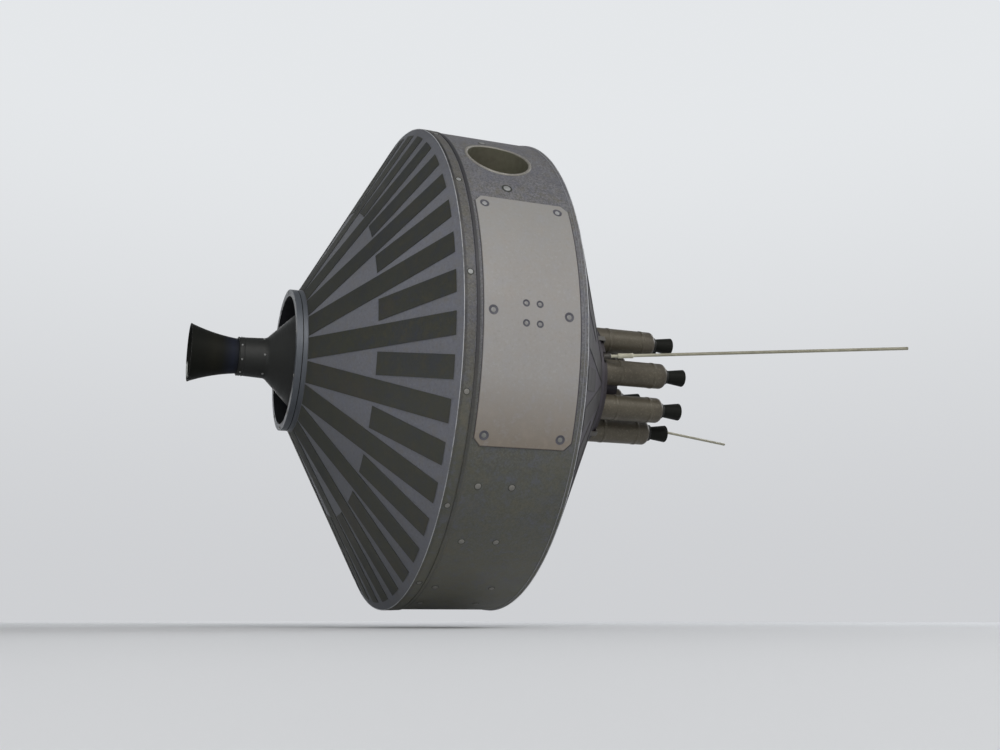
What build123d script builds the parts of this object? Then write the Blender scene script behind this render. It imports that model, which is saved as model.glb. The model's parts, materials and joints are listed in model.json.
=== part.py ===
"""Spin-stabilised lunar probe, about 1958: a drum between two striped cones,
a retro motor through the front ring, a ring of eight small motors at the aft
end that can be released, and two splayed antenna rods.

Millimetres.  +X is the spin axis, pointing aft; the big nozzle is at -X.
The origin is on the spin axis at the drum's mid-plane.  Angles round the
drum start at -Y, where the access panel is, and grow towards +Z.
"""
import os
from math import cos, radians, sin, sqrt, tan

from build123d import *

os.makedirs("parts", exist_ok=True)

# Fits between pieces
seat_gap = 0.05            # round pieces that sit on or in one another
rest_gap = 0.3             # released ring from the deck it rests on
run_gap = 0.05             # released ring's hub on its guide tube, radial
collar_gap = 0.25          # a ring's collar inside the sloping cone, radial
overshoot = 20.0           # how far blanks and cutters reach past the face they meet

# Drum
drum_radius = 370.0
shell_wall = 2.0
band_thickness = 1.5       # raised bands at both rims
front_band_width = 15.2
bead_width = 6.2
bead_thickness = 1.2
seam = 1.4                 # dark line between neighbouring strips
aft_band_width = 5.0
aft_band_thickness = 1.0
band_chamfer = 0.5

# Cones
cone_height = 146.6
cone_end_radius = 107.0
cone_wall = 2.0
cone_inset = 0.4           # the cone's rim below the raised bands

# Stripes: strips of constant width that run along the slope of each cone
stripe_pairs = 20          # long and short stripes alternate
stripe_width = 31.4
stripe_thickness = 0.5
stripe_gap = 0.3           # under each stripe
stripe_margin = 0.047      # share of the slope left bare beside the drum
stripe_phase = -11.9       # one short stripe lies at this angle
short_share = 0.52         # short stripes end at this share of the slope
long_share = 0.998

# End rings
ring_width = 16.0
front_lip_width = 8.55     # of the front ring's outer band, before the groove
ring_wall = 10.0
ring_groove = 1.2
groove_depth = 1.6
collar_length = 26.3       # the part of a ring that reaches inside its cone
aft_ring_width = 4.7

# Retro motor
neck_start_radius = 28.5
neck_radius = 30.5
neck_length = 41.0
dome_angle = 44.6          # of the dome's side, from the spin axis
bell_exit_radius = 43.2
bell_mid_radius = 32.4
bell_root_radius = 26.0
bell_length = 70.0
bell_mid = 0.53            # share of the length from the root, at mid radius
bell_wall = 1.6
throat_radius = 13.0
throat_plate = 4.0
dome_rim = 3.0
dome_fillet = 9.0          # between the dome and the neck

# Scanner port
port_angle = 43.7
port_x = -2.5
port_radius = 44.6
port_rim_width = 5.4
port_rim_height = 1.8
port_wall = 1.6
port_depth = 46.0

# Access panel
panel_length = 134.0
panel_front_gap = 2.95     # between the bead and the panel
panel_aft_gap = 6.75       # between the panel and the aft band
panel_half_arc = 27.2      # degrees each side of -Y
panel_thickness = 2.4
panel_corner = 9.0         # cut straight across
panel_chamfer = 0.6
cup_depth = 1.2            # of the round screw cups sunk in the panel
cup_radius = 6.6
cup_front_inset = 12.5     # outer cups from the panel's front and aft edges
cup_aft_inset = 16.5
cup_end_angle = 2.3        # and from its ends
inner_cup_radius = 5.0
inner_cup_spread = 9.5     # the four inner cups from the panel's middle
inner_cup_angle = 2.05

# Aft deck and the guide tube of the released ring
deck_thickness = 6.0
deck_recess = 5.0          # deck's aft face below the ring's aft face
guide_radius = 38.0
guide_length = 62.0
guide_wall = 3.0
boss_width = 12.0          # of the boss round the guide tube, which carries the released ring
boss_rise = 1.0            # the boss above the ring's aft face

# Released ring with its eight small motors, in two groups of four
vernier_group = 4
vernier_phase = 3.5        # angle of the first motor
vernier_gap_angle = 54.9   # between the groups, beside each antenna rod
vernier_pitch_radius = 79.0
vernier_plate_radius = 102.5
vernier_plate_thickness = 6.0
vernier_case_radius = 20.5
vernier_case_length = 113.0
vernier_dome = 9.0
flange_width = 1.5         # of the flange at the foot of a small motor
flange_thickness = 3.0
vernier_throat_radius = 9.5
vernier_exit_radius = 14.0
vernier_nozzle_length = 34.0
vernier_nozzle_wall = 1.4
notch_radius = 10.0        # room in the plate for each antenna fitting
clip_count = 4             # bent clips, from the plate's face over the aft ring
clip_width = 9.0
clip_thickness = 1.6
clip_seat = 12.0           # length of a clip on the plate
clip_gap = 0.3             # between a clip and the ring's outer face
clip_clearance = 1.0       # from a clip's end to the cone

# Antenna rods, a pair turned half a turn about the spin axis
rod_radius = 2.5
rod_length = 485.0
rod_base_radius = 104.0    # distance of the foot from the spin axis
rod_base_angle = 13.3
rod_splay = 20.8           # angle from the spin axis
rod_lean = 4.3             # its outward direction, from -Y towards +Z
ferrule_radius = 3.9
ferrule_start = 24.0
ferrule_length = 24.0
foot_radius = 4.5
foot_length = 13.0
foot_chamfer = 1.2

# Places along the axis
panel_start = front_band_width + seam + bead_width + panel_front_gap
drum_width = panel_start + panel_length + panel_aft_gap + aft_band_width
drum_half = drum_width / 2
panel_x = panel_start + panel_length / 2 - drum_half
skin_radius = drum_radius - band_thickness
cone_tip_x = drum_half + cone_height
ring_face_x = cone_tip_x + ring_width
aft_face_x = cone_tip_x + aft_ring_width
ring_bore_radius = cone_end_radius - ring_wall
core_radius = ring_bore_radius - seat_gap
collar_end_x = cone_tip_x - collar_length
case_front_x = -collar_end_x
dome_base_x = case_front_x - dome_rim
neck_end_x = dome_base_x - (core_radius - neck_radius) / tan(radians(dome_angle))
neck_start_x = neck_end_x - neck_length
bell_exit_x = neck_start_x - bell_length
cone_rim_radius = drum_radius - cone_inset
cone_slope = (cone_rim_radius - cone_end_radius) / cone_height
cone_offset = cone_wall * sqrt(1 + cone_slope ** 2)
deck_aft_x = aft_face_x - deck_recess
boss_x = aft_face_x + boss_rise
plate_x = boss_x + rest_gap
plate_aft_x = plate_x + vernier_plate_thickness

# Angles of the small motors: the second half of the ring is the first turned half a turn
vernier_step = (180 - vernier_gap_angle) / (vernier_group - 1)
half_ring = [0.0] + [vernier_gap_angle + vernier_step * i for i in range(vernier_group - 1)]
vernier_angles = [vernier_phase + offset + turn for turn in (0, 180) for offset in half_ring]


def radial_plane(x, angle, radius):
    """A plane at this place on the drum whose z points away from the spin axis
    and whose x points aft."""
    out = Vector(0, -cos(radians(angle)), sin(radians(angle)))
    return Plane(origin=Vector(x, 0, 0) + out * radius, x_dir=(1, 0, 0), z_dir=out)


def axial_plane(x, angle, radius):
    """A plane across the spin axis, facing aft, at this distance from the axis."""
    origin = (x, -radius * cos(radians(angle)), radius * sin(radians(angle)))
    return Plane(origin=origin, x_dir=(0, -cos(radians(angle)), sin(radians(angle))), z_dir=(1, 0, 0))


def section_plane(angle):
    """The half plane through the spin axis at this angle: x runs aft, y away from the axis."""
    out = Vector(0, -cos(radians(angle)), sin(radians(angle)))
    return Plane(origin=(0, 0, 0), x_dir=(1, 0, 0), z_dir=Vector(1, 0, 0).cross(out))


def save(builder, name):
    """Label a finished piece and write it."""
    builder.part.label = name
    export_step(builder.part, f"parts/{name}.step")


# Drum shell, with the scanner port cut through it
with BuildPart() as drum_shell:
    with BuildSketch(Plane.XZ):
        with Locations((0, skin_radius - shell_wall / 2)):
            Rectangle(drum_width, shell_wall)
    revolve(axis=Axis.X)
    with BuildSketch(radial_plane(port_x, port_angle, skin_radius - port_depth)):
        Circle(port_radius + port_wall + seat_gap)
    extrude(amount=2 * port_depth, mode=Mode.SUBTRACT)
save(drum_shell, "drum_shell")

# Raised strips round the drum: name, centre along the axis, width, thickness
bead_x = -drum_half + front_band_width + seam + bead_width / 2
strips = [
    ("front_band", -drum_half + front_band_width / 2, front_band_width, band_thickness),
    ("drum_bead", bead_x, bead_width, bead_thickness),
    ("aft_band", drum_half - aft_band_width / 2, aft_band_width, aft_band_thickness),
]
for name, centre, width, thickness in strips:
    with BuildPart() as strip:
        with BuildSketch(Plane.XZ) as strip_section:
            with Locations((centre, skin_radius + seat_gap + thickness / 2)):
                Rectangle(width, thickness)
            chamfer(strip_section.vertices().group_by(Axis.Y)[-1], band_chamfer)
        revolve(axis=Axis.X)
    save(strip, name)

# Access panel: a curved plate on the drum, its corners cut straight, with sunk cups for its screws
panel_base = skin_radius + seat_gap
cup_floor = panel_base + panel_thickness - cup_depth
cup_angle = panel_half_arc - cup_end_angle
outer_cup_x = (panel_x - panel_length / 2 + cup_front_inset, panel_x + panel_length / 2 - cup_aft_inset)
inner_cup_x = (panel_x - inner_cup_spread, panel_x + inner_cup_spread)
cups = [(x, angle, cup_radius) for x in outer_cup_x for angle in (-cup_angle, 0, cup_angle)]
cups += [(x, angle, inner_cup_radius) for x in inner_cup_x for angle in (-inner_cup_angle, inner_cup_angle)]
with BuildPart() as access_panel:
    with BuildSketch(radial_plane(panel_x, 0, 0)):
        outline = Rectangle(panel_length, 2 * panel_base * sin(radians(panel_half_arc)))
        chamfer(outline.vertices(), panel_corner)
    extrude(amount=drum_radius + overshoot)
    with BuildSketch(Plane.XZ, mode=Mode.PRIVATE) as panel_section:
        with Locations((panel_x, panel_base + panel_thickness / 2)):
            Rectangle(panel_length + overshoot, panel_thickness)
    revolve(panel_section.sketch, axis=Axis.X, mode=Mode.INTERSECT)
    chamfer(access_panel.faces().sort_by(Axis.Y)[0].edges(), panel_chamfer)
    for x, angle, radius in cups:
        with BuildSketch(radial_plane(x, angle, cup_floor)):
            Circle(radius)
        extrude(amount=panel_thickness, mode=Mode.SUBTRACT)
save(access_panel, "access_panel")

# Scanner port: a cup through the shell, and the rim round its mouth
port_floor = skin_radius - port_depth
port_cover = 2 * port_radius + 2 * overshoot    # length of drum that takes in the whole port
with BuildPart() as port_barrel:
    with BuildSketch(radial_plane(port_x, port_angle, port_floor)):
        Circle(port_radius + port_wall)
    extrude(amount=2 * port_depth)
    with BuildSketch(radial_plane(port_x, port_angle, port_floor + port_wall)):
        Circle(port_radius)
    extrude(amount=2 * port_depth, mode=Mode.SUBTRACT)
    with BuildSketch(Plane.XZ, mode=Mode.PRIVATE) as mouth_section:
        with Locations((port_x, skin_radius / 2)):
            Rectangle(port_cover, skin_radius)
    revolve(mouth_section.sketch, axis=Axis.X, mode=Mode.INTERSECT)
save(port_barrel, "port_barrel")

with BuildPart() as port_rim:
    with BuildSketch(radial_plane(port_x, port_angle, 0)):
        Circle(port_radius + port_rim_width)
        Circle(port_radius + port_wall + seat_gap, mode=Mode.SUBTRACT)
    extrude(amount=drum_radius + overshoot)
    with BuildSketch(Plane.XZ, mode=Mode.PRIVATE) as rim_section:
        with Locations((port_x, skin_radius + seat_gap + port_rim_height / 2)):
            Rectangle(port_cover, port_rim_height)
    revolve(rim_section.sketch, axis=Axis.X, mode=Mode.INTERSECT)
save(port_rim, "port_rim")


def cone_radius(x, lift=0.0):
    """Radius of the cone's outer face at this distance from the drum's middle, lifted along its normal."""
    return cone_rim_radius - (x - drum_half) * cone_slope + lift * sqrt(1 + cone_slope ** 2)


# Cones: side is -1 at the front and 1 at the aft end
for side, end in ((-1, "front"), (1, "aft")):
    with BuildPart() as cone:
        with BuildSketch(Plane.XZ):
            with BuildLine():
                Polyline(
                    (side * drum_half, cone_rim_radius),
                    (side * cone_tip_x, cone_end_radius),
                    (side * cone_tip_x, cone_end_radius - cone_offset),
                    (side * drum_half, cone_rim_radius - cone_offset),
                    close=True,
                )
            make_face()
        revolve(axis=Axis.X)
    save(cone, f"{end}_cone")

    # Stripe sets: name, share of the slope where the stripe ends, angle of the first
    half_pitch = 180 / stripe_pairs
    stripe_sets = [
        ("long", long_share, stripe_phase + half_pitch),
        ("short", short_share, stripe_phase),
    ]
    for kind, share, first in stripe_sets:
        start_x = drum_half + stripe_margin * cone_height
        stop_x = drum_half + share * cone_height
        with BuildPart() as stripes:
            with BuildSketch(Plane.XZ):
                with BuildLine():
                    Polyline(
                        (side * start_x, cone_radius(start_x, stripe_gap)),
                        (side * stop_x, cone_radius(stop_x, stripe_gap)),
                        (side * stop_x, cone_radius(stop_x, stripe_gap + stripe_thickness)),
                        (side * start_x, cone_radius(start_x, stripe_gap + stripe_thickness)),
                        close=True,
                    )
                make_face()
            revolve(axis=Axis.X)
            with BuildPart(mode=Mode.PRIVATE) as slots:
                for i in range(stripe_pairs):
                    with BuildSketch(radial_plane(side * (start_x + stop_x) / 2, first + 360 / stripe_pairs * i, 0)):
                        Rectangle(2 * cone_height, stripe_width)
                    extrude(amount=drum_radius + overshoot)
            add(slots.part, mode=Mode.INTERSECT)
        save(stripes, f"{end}_{kind}_stripes")

# Front ring: two bands with a groove between them, and a collar inside the cone
groove_front_x = ring_face_x - front_lip_width
groove_aft_x = groove_front_x - ring_groove
collar_radius = cone_end_radius - cone_offset - collar_gap
with BuildPart() as front_ring:
    with BuildSketch(Plane.XZ):
        with BuildLine():
            Polyline(
                (-ring_face_x, ring_bore_radius),
                (-ring_face_x, cone_end_radius),
                (-groove_front_x, cone_end_radius),
                (-groove_front_x, cone_end_radius - groove_depth),
                (-groove_aft_x, cone_end_radius - groove_depth),
                (-groove_aft_x, cone_end_radius),
                (-cone_tip_x, cone_end_radius),
                (-cone_tip_x, collar_radius),
                (-collar_end_x, collar_radius),
                (-collar_end_x, ring_bore_radius),
                close=True,
            )
        make_face()
    revolve(axis=Axis.X)
save(front_ring, "front_ring")

with BuildPart() as aft_ring:
    with BuildSketch(Plane.XZ):
        with BuildLine():
            Polyline(
                (aft_face_x, ring_bore_radius),
                (aft_face_x, cone_end_radius),
                (cone_tip_x, cone_end_radius),
                (cone_tip_x, collar_radius),
                (collar_end_x, collar_radius),
                (collar_end_x, ring_bore_radius),
                close=True,
            )
        make_face()
    revolve(axis=Axis.X)
save(aft_ring, "aft_ring")

# Retro motor: the case is one plain block from the front ring to the aft deck
with BuildPart() as motor_case:
    with BuildSketch(Plane.YZ.offset(case_front_x)):
        Circle(core_radius)
    extrude(amount=deck_aft_x - deck_thickness - case_front_x)
save(motor_case, "motor_case")

with BuildPart() as motor_dome:
    with BuildSketch(Plane.XZ) as dome_section:
        with BuildLine():
            Polyline(
                (neck_start_x, 0),
                (neck_start_x, neck_start_radius),
                (neck_end_x, neck_radius),
                (dome_base_x, core_radius),
                (case_front_x, core_radius),
                (case_front_x, 0),
                close=True,
            )
        make_face()
        fillet(dome_section.vertices().sort_by_distance((neck_end_x, neck_radius))[0], dome_fillet)
    revolve(axis=Axis.X)
save(motor_dome, "motor_dome")

bell_mid_x = neck_start_x - bell_mid * bell_length
with BuildPart() as nozzle_bell:
    with BuildSketch(Plane.XZ):
        with BuildLine():
            ThreePointArc((bell_exit_x, bell_exit_radius), (bell_mid_x, bell_mid_radius), (neck_start_x, bell_root_radius))
            Line((neck_start_x, bell_root_radius), (neck_start_x, throat_radius))
            Line((neck_start_x, throat_radius), (neck_start_x - throat_plate, throat_radius))
            ThreePointArc(
                (neck_start_x - throat_plate, throat_radius),
                (bell_mid_x, bell_mid_radius - bell_wall),
                (bell_exit_x, bell_exit_radius - bell_wall),
            )
            Line((bell_exit_x, bell_exit_radius - bell_wall), (bell_exit_x, bell_exit_radius))
        make_face()
    revolve(axis=Axis.X)
save(nozzle_bell, "nozzle_bell")

# Aft deck, which closes the aft ring and carries the guide tube
with BuildPart() as aft_deck:
    with BuildSketch(Plane.YZ.offset(deck_aft_x - deck_thickness)):
        Circle(core_radius)
    extrude(amount=deck_thickness)
    with BuildSketch(Plane.YZ.offset(deck_aft_x)):
        Circle(guide_radius)
    extrude(amount=guide_length)
    with BuildSketch(Plane.YZ.offset(deck_aft_x)):
        Circle(guide_radius - guide_wall)
    extrude(amount=guide_length, mode=Mode.SUBTRACT)
    with BuildSketch(Plane.YZ.offset(deck_aft_x)):
        Circle(guide_radius + boss_width)
        Circle(guide_radius, mode=Mode.SUBTRACT)
    extrude(amount=boss_x - deck_aft_x)
save(aft_deck, "aft_deck")

# Antenna rods: the second is the first turned half a turn about the spin axis
lean = radians(rod_lean)
rod_dir = Vector(cos(radians(rod_splay)), -sin(radians(rod_splay)) * cos(lean), sin(radians(rod_splay)) * sin(lean))
rod_foot = Vector(
    aft_face_x,
    -rod_base_radius * cos(radians(rod_base_angle)),
    rod_base_radius * sin(radians(rod_base_angle)),
)
foot_lap = 2 * foot_radius


def turned(vector, turns):
    """A vector turned by half turns about the spin axis."""
    sign = -1 if turns else 1
    return Vector(vector.X, sign * vector.Y, sign * vector.Z)


for turns, which in ((0, "near"), (1, "far")):
    along = turned(rod_dir, turns)
    foot_at = turned(rod_foot, turns)
    with BuildPart() as antenna_foot:
        with BuildSketch(Plane(origin=foot_at - along * foot_lap, z_dir=along)):
            Circle(foot_radius)
        extrude(amount=foot_lap + foot_length)
        chamfer(antenna_foot.faces().sort_by(Axis.X)[-1].edges(), foot_chamfer)
        split(bisect_by=Plane.YZ.offset(aft_face_x), keep=Keep.TOP)
    save(antenna_foot, f"antenna_foot_{which}")

    with BuildPart() as antenna_rod:
        with BuildSketch(Plane(origin=foot_at + along * foot_length, z_dir=along)):
            Circle(rod_radius)
        extrude(amount=rod_length - foot_length)
        with BuildSketch(Plane(origin=foot_at + along * ferrule_start, z_dir=along)):
            Circle(ferrule_radius)
        extrude(amount=ferrule_length)
    save(antenna_rod, f"antenna_rod_{which}")

# Released ring: plate with a hub hole, notches for the antenna feet, and clips
notch_place = rod_foot + rod_dir * ((plate_x + vernier_plate_thickness / 2 - aft_face_x) / rod_dir.X)
with BuildPart() as vernier_plate:
    with BuildSketch(Plane.YZ.offset(plate_x)):
        Circle(vernier_plate_radius)
        Circle(guide_radius + run_gap, mode=Mode.SUBTRACT)
        for turns in (0, 1):
            place = turned(notch_place, turns)
            with Locations((place.Y, place.Z)):
                Circle(notch_radius, mode=Mode.SUBTRACT)
    extrude(amount=vernier_plate_thickness)
save(vernier_plate, "vernier_plate")

clip_phase = vernier_phase + vernier_gap_angle / 2
clip_inner = cone_end_radius + clip_gap
with BuildPart() as vernier_clips:
    for i in range(clip_count):
        with BuildSketch(section_plane(clip_phase + 360 / clip_count * i)):
            with BuildLine():
                Polyline(
                    (plate_aft_x, vernier_plate_radius - clip_seat),
                    (plate_aft_x, clip_inner),
                    (cone_tip_x + clip_clearance, clip_inner),
                    (cone_tip_x + clip_clearance, clip_inner + clip_thickness),
                    (plate_aft_x + clip_thickness, clip_inner + clip_thickness),
                    (plate_aft_x + clip_thickness, vernier_plate_radius - clip_seat),
                    close=True,
                )
            make_face()
        extrude(amount=clip_width / 2, both=True)
save(vernier_clips, "vernier_clips")

# The eight small motors: a case with a domed end, and its nozzle
for i, angle in enumerate(vernier_angles):
    place = axial_plane(plate_aft_x, angle, vernier_pitch_radius)
    motor_axis = Axis(place.origin, place.z_dir)
    side_plane = Plane(origin=place.origin, x_dir=place.z_dir, z_dir=place.y_dir)
    with BuildPart() as vernier_case:
        with BuildSketch(side_plane):
            with BuildLine():
                Polyline(
                    (vernier_case_length, 0),
                    (0, 0),
                    (0, -vernier_case_radius - flange_width),
                    (flange_thickness, -vernier_case_radius - flange_width),
                    (flange_thickness, -vernier_case_radius),
                    (vernier_case_length - vernier_dome, -vernier_case_radius),
                )
                Line((vernier_case_length, 0), (vernier_case_length, -vernier_throat_radius))
                EllipticalCenterArc(
                    (vernier_case_length - vernier_dome, -vernier_throat_radius),
                    vernier_dome,
                    vernier_case_radius - vernier_throat_radius,
                    start_angle=270,
                    arc_size=90,
                )
            make_face()
        revolve(axis=motor_axis)
    save(vernier_case, f"vernier_case_{i + 1}")

    with BuildPart() as vernier_nozzle:
        with BuildSketch(side_plane):
            with BuildLine():
                Polyline(
                    (vernier_case_length, -vernier_throat_radius + 2 * vernier_nozzle_wall),
                    (vernier_case_length, -vernier_throat_radius),
                    (vernier_case_length + vernier_nozzle_length, -vernier_exit_radius),
                    (vernier_case_length + vernier_nozzle_length, -vernier_exit_radius + vernier_nozzle_wall),
                    (vernier_case_length + 2 * vernier_nozzle_wall, -vernier_throat_radius + 2 * vernier_nozzle_wall),
                    close=True,
                )
            make_face()
        revolve(axis=motor_axis)
    save(vernier_nozzle, f"vernier_nozzle_{i + 1}")
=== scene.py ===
"""Looks of the spin-stabilised lunar probe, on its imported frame.

Metres, in the frame of the CAD model: +X is the spin axis and points aft,
the access panel faces -Y and +Z is up.  Angles round the drum start at -Y and
grow towards +Z.  Paints are display colours from 0 to 255.
"""
import json
from math import asin, cos, degrees, pi, radians, sin, sqrt

import bmesh
import bpy
from mathutils import Matrix, Vector


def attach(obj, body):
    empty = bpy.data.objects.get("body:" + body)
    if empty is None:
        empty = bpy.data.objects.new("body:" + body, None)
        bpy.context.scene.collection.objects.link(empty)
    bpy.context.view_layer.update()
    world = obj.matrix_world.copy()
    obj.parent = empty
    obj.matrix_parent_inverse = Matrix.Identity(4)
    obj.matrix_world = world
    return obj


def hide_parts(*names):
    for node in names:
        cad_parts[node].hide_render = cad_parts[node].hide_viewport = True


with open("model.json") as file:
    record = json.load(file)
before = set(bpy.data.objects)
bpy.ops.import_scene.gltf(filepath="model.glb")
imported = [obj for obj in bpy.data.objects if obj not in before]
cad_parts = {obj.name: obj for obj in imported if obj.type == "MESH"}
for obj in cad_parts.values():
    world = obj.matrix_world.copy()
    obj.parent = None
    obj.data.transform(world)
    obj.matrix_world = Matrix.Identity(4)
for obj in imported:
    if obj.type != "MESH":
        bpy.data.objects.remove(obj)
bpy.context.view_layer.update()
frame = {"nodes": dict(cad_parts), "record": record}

# Sizes of the CAD model that the added pieces sit on
MM = 0.001
SKIN_R = 368.5 * MM
BAND_R = 370.05 * MM
DRUM_HALF = 85.75 * MM
PANEL_X = 7.0 * MM
PANEL_HALF_X = 67.0 * MM
PANEL_HALF_ARC = 27.2
PANEL_CORNER = 9.0 * MM
CUP_FLOOR_R = 369.75 * MM
PORT_X = -2.5 * MM
PORT_ANGLE = 43.7
NECK_END_X = -276.4 * MM
NECK_START_X = -317.4 * MM
BELL_EXIT_X = -387.4 * MM
PLATE_AFT_X = 244.35 * MM
CASE_END_X = 357.35 * MM
PITCH_R = 79.0 * MM
MOTOR_ANGLES = [3.5, 58.4, 100.1, 141.8, 183.5, 238.4, 280.1, 321.8]
RING_FACE_X = -248.35 * MM
RING_GROOVE_X = -239.2 * MM
RING_R = 107.0 * MM
ROD_FOOT_X = 237.05 * MM
ROD_FOOT_R = 104.0 * MM
ROD_FOOT_ANGLE = 13.3
ROD_SPLAY = 20.8
ROD_LEAN = 4.3

# Places where the finish changes, along the axis
# the seam is painted as the shade of a groove
SEAM_X = -67.2 * MM                       # dark seam behind the front band
PAINTED_BEAD = (-65.6 * MM, -64.6 * MM)   # the bead is painted like the skin behind this
# the line behind the front edge is a painted shadow
EDGE_LINE_X = -83.7 * MM                  # thin dark line behind the drum's front edge
AFT_CONE = (0.080, 0.086)                 # the aft cone and its stripes begin here

# Paints: the base colour, its light specks and its dark specks
SKIN_PAINT = ((98, 98, 101), (121, 121, 126), (75, 73, 73))
BAND_PAINT = ((83, 82, 80), (103, 101, 98), (62, 59, 57))


def srgb(red, green, blue):
    """A display colour as the linear colour that a shader takes."""
    def linear(v):
        v /= 255.0
        return v / 12.92 if v <= 0.04045 else ((v + 0.055) / 1.055) ** 2.4
    return (linear(red), linear(green), linear(blue), 1.0)


# Materials
class Finish:
    """A node material: a base colour to which layers of variation are added."""

    def __init__(self, name, color, rough, metal=0.0):
        self.mat = bpy.data.materials.new(name)
        self.mat.use_nodes = True
        self.nodes = self.mat.node_tree.nodes
        self.links = self.mat.node_tree.links
        self.bsdf = self.nodes["Principled BSDF"]
        self.bsdf.inputs["Metallic"].default_value = metal
        self.bsdf.inputs["Roughness"].default_value = rough
        self.color = srgb(*color)
        self.rough = rough
        self.height = None
        self.place = self.nodes.new("ShaderNodeTexCoord").outputs["Object"]
        self.parts = None

    def specular(self, level):
        """How strongly the surface reflects, 0.5 for plain gloss."""
        self.bsdf.inputs["Specular IOR Level"].default_value = level
        return self

    def put(self, socket, value):
        """Link a socket, or set it to a constant."""
        if isinstance(value, bpy.types.NodeSocket):
            self.links.new(value, socket)
        else:
            socket.default_value = value

    def math(self, operation, a, b=0.0):
        """A calculation on one or two values."""
        node = self.nodes.new("ShaderNodeMath")
        node.operation = operation
        self.put(node.inputs[0], a)
        self.put(node.inputs[1], b)
        return node.outputs[0]

    def times(self, product, *factors):
        """The product of some values."""
        for factor in factors:
            product = self.math("MULTIPLY", product, factor)
        return product

    def ramp(self, value, low, high, to_low=0.0, to_high=1.0):
        """Map a range of a value to another, clamped."""
        node = self.nodes.new("ShaderNodeMapRange")
        self.put(node.inputs["Value"], value)
        node.inputs["From Min"].default_value = low
        node.inputs["From Max"].default_value = high
        node.inputs["To Min"].default_value = to_low
        node.inputs["To Max"].default_value = to_high
        return node.outputs["Result"]

    def xyz(self, axis):
        """One coordinate of the place on the object."""
        if self.parts is None:
            self.parts = self.nodes.new("ShaderNodeSeparateXYZ")
            self.links.new(self.place, self.parts.inputs[0])
        return self.parts.outputs["XYZ".index(axis)]

    def radius(self):
        """Distance from the spin axis."""
        y2 = self.math("POWER", self.math("ABSOLUTE", self.xyz("Y")), 2.0)
        z2 = self.math("POWER", self.math("ABSOLUTE", self.xyz("Z")), 2.0)
        return self.math("SQRT", self.math("ADD", y2, z2))

    def near(self, axis, value, reach):
        """1 at this coordinate, falling to 0 at the reach on each side."""
        away = self.math("ABSOLUTE", self.math("SUBTRACT", self.xyz(axis), value))
        return self.ramp(away, 0.0, reach, 1.0, 0.0)

    def noise(self, scale, detail, rough=0.55, stretch=None, warp=0.0):
        """Cloudy noise around 0.5, finer with a larger scale."""
        node = self.nodes.new("ShaderNodeTexNoise")
        node.inputs["Scale"].default_value = scale
        node.inputs["Detail"].default_value = detail
        node.inputs["Roughness"].default_value = rough
        node.inputs["Distortion"].default_value = warp
        vector = self.place
        if stretch:
            mapping = self.nodes.new("ShaderNodeMapping")
            mapping.inputs["Scale"].default_value = stretch
            self.links.new(vector, mapping.inputs["Vector"])
            vector = mapping.outputs["Vector"]
        self.links.new(vector, node.inputs["Vector"])
        return node.outputs["Fac"]

    def cells(self, scale):
        """Distance to the nearest of many scattered points, from 0 to about 1."""
        node = self.nodes.new("ShaderNodeTexVoronoi")
        node.inputs["Scale"].default_value = scale
        self.links.new(self.place, node.inputs["Vector"])
        return node.outputs["Distance"]

    def turned(self, scale, along=0.03):
        """Fine lines that run round the spin axis, as a lathe leaves them."""
        join = self.nodes.new("ShaderNodeCombineXYZ")
        self.put(join.inputs[0], self.times(self.xyz("X"), scale))
        self.put(join.inputs[1], self.times(self.radius(), scale))
        self.put(join.inputs[2], self.times(self.xyz("Z"), scale * along))
        node = self.nodes.new("ShaderNodeTexNoise")
        node.inputs["Scale"].default_value = 1.0
        node.inputs["Detail"].default_value = 2.0
        self.links.new(join.outputs[0], node.inputs["Vector"])
        return node.outputs["Fac"]

    def blend(self, amount, low, high):
        """A colour between two colours."""
        node = self.nodes.new("ShaderNodeMix")
        node.data_type = "RGBA"
        self.put(node.inputs["Factor"], amount)
        self.put(node.inputs[6], low)
        self.put(node.inputs[7], high)
        return node.outputs[2]

    def tint(self, amount, color):
        """Blend the colour towards another where the amount says so."""
        self.color = self.blend(amount, self.color, srgb(*color))
        return self

    def shade(self, value, start, end, most, color):
        """Tint by a value: not at all at the start of a range, the most at its end."""
        return self.tint(self.ramp(value, start, end, 0.0, most), color)

    def mottle(self, scale, amount, cool, warm):
        """Small patches of a cooler and of a warmer tone."""
        patches = self.noise(scale, 4.0, 0.75)
        self.shade(patches, 0.52, 0.66, amount, cool)
        self.shade(patches, 0.48, 0.34, amount, warm)
        return self

    def rough_by(self, value, to_low, to_high):
        """Let the roughness follow a noise."""
        self.rough = self.ramp(value, 0.3, 0.7, to_low, to_high)
        return self

    def bump(self, value, depth):
        """Add a height, in metres, to the surface."""
        step = self.times(value, depth)
        self.height = step if self.height is None else self.math("ADD", self.height, step)
        return self

    def done(self):
        """Join the layers to the shader and return the material."""
        self.put(self.bsdf.inputs["Base Color"], self.color)
        self.put(self.bsdf.inputs["Roughness"], self.rough)
        if self.height is not None:
            node = self.nodes.new("ShaderNodeBump")
            node.inputs["Strength"].default_value = 1.0
            node.inputs["Distance"].default_value = 1.0
            self.links.new(self.height, node.inputs["Height"])
            self.links.new(node.outputs["Normal"], self.bsdf.inputs["Normal"])
        return self.mat


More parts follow.
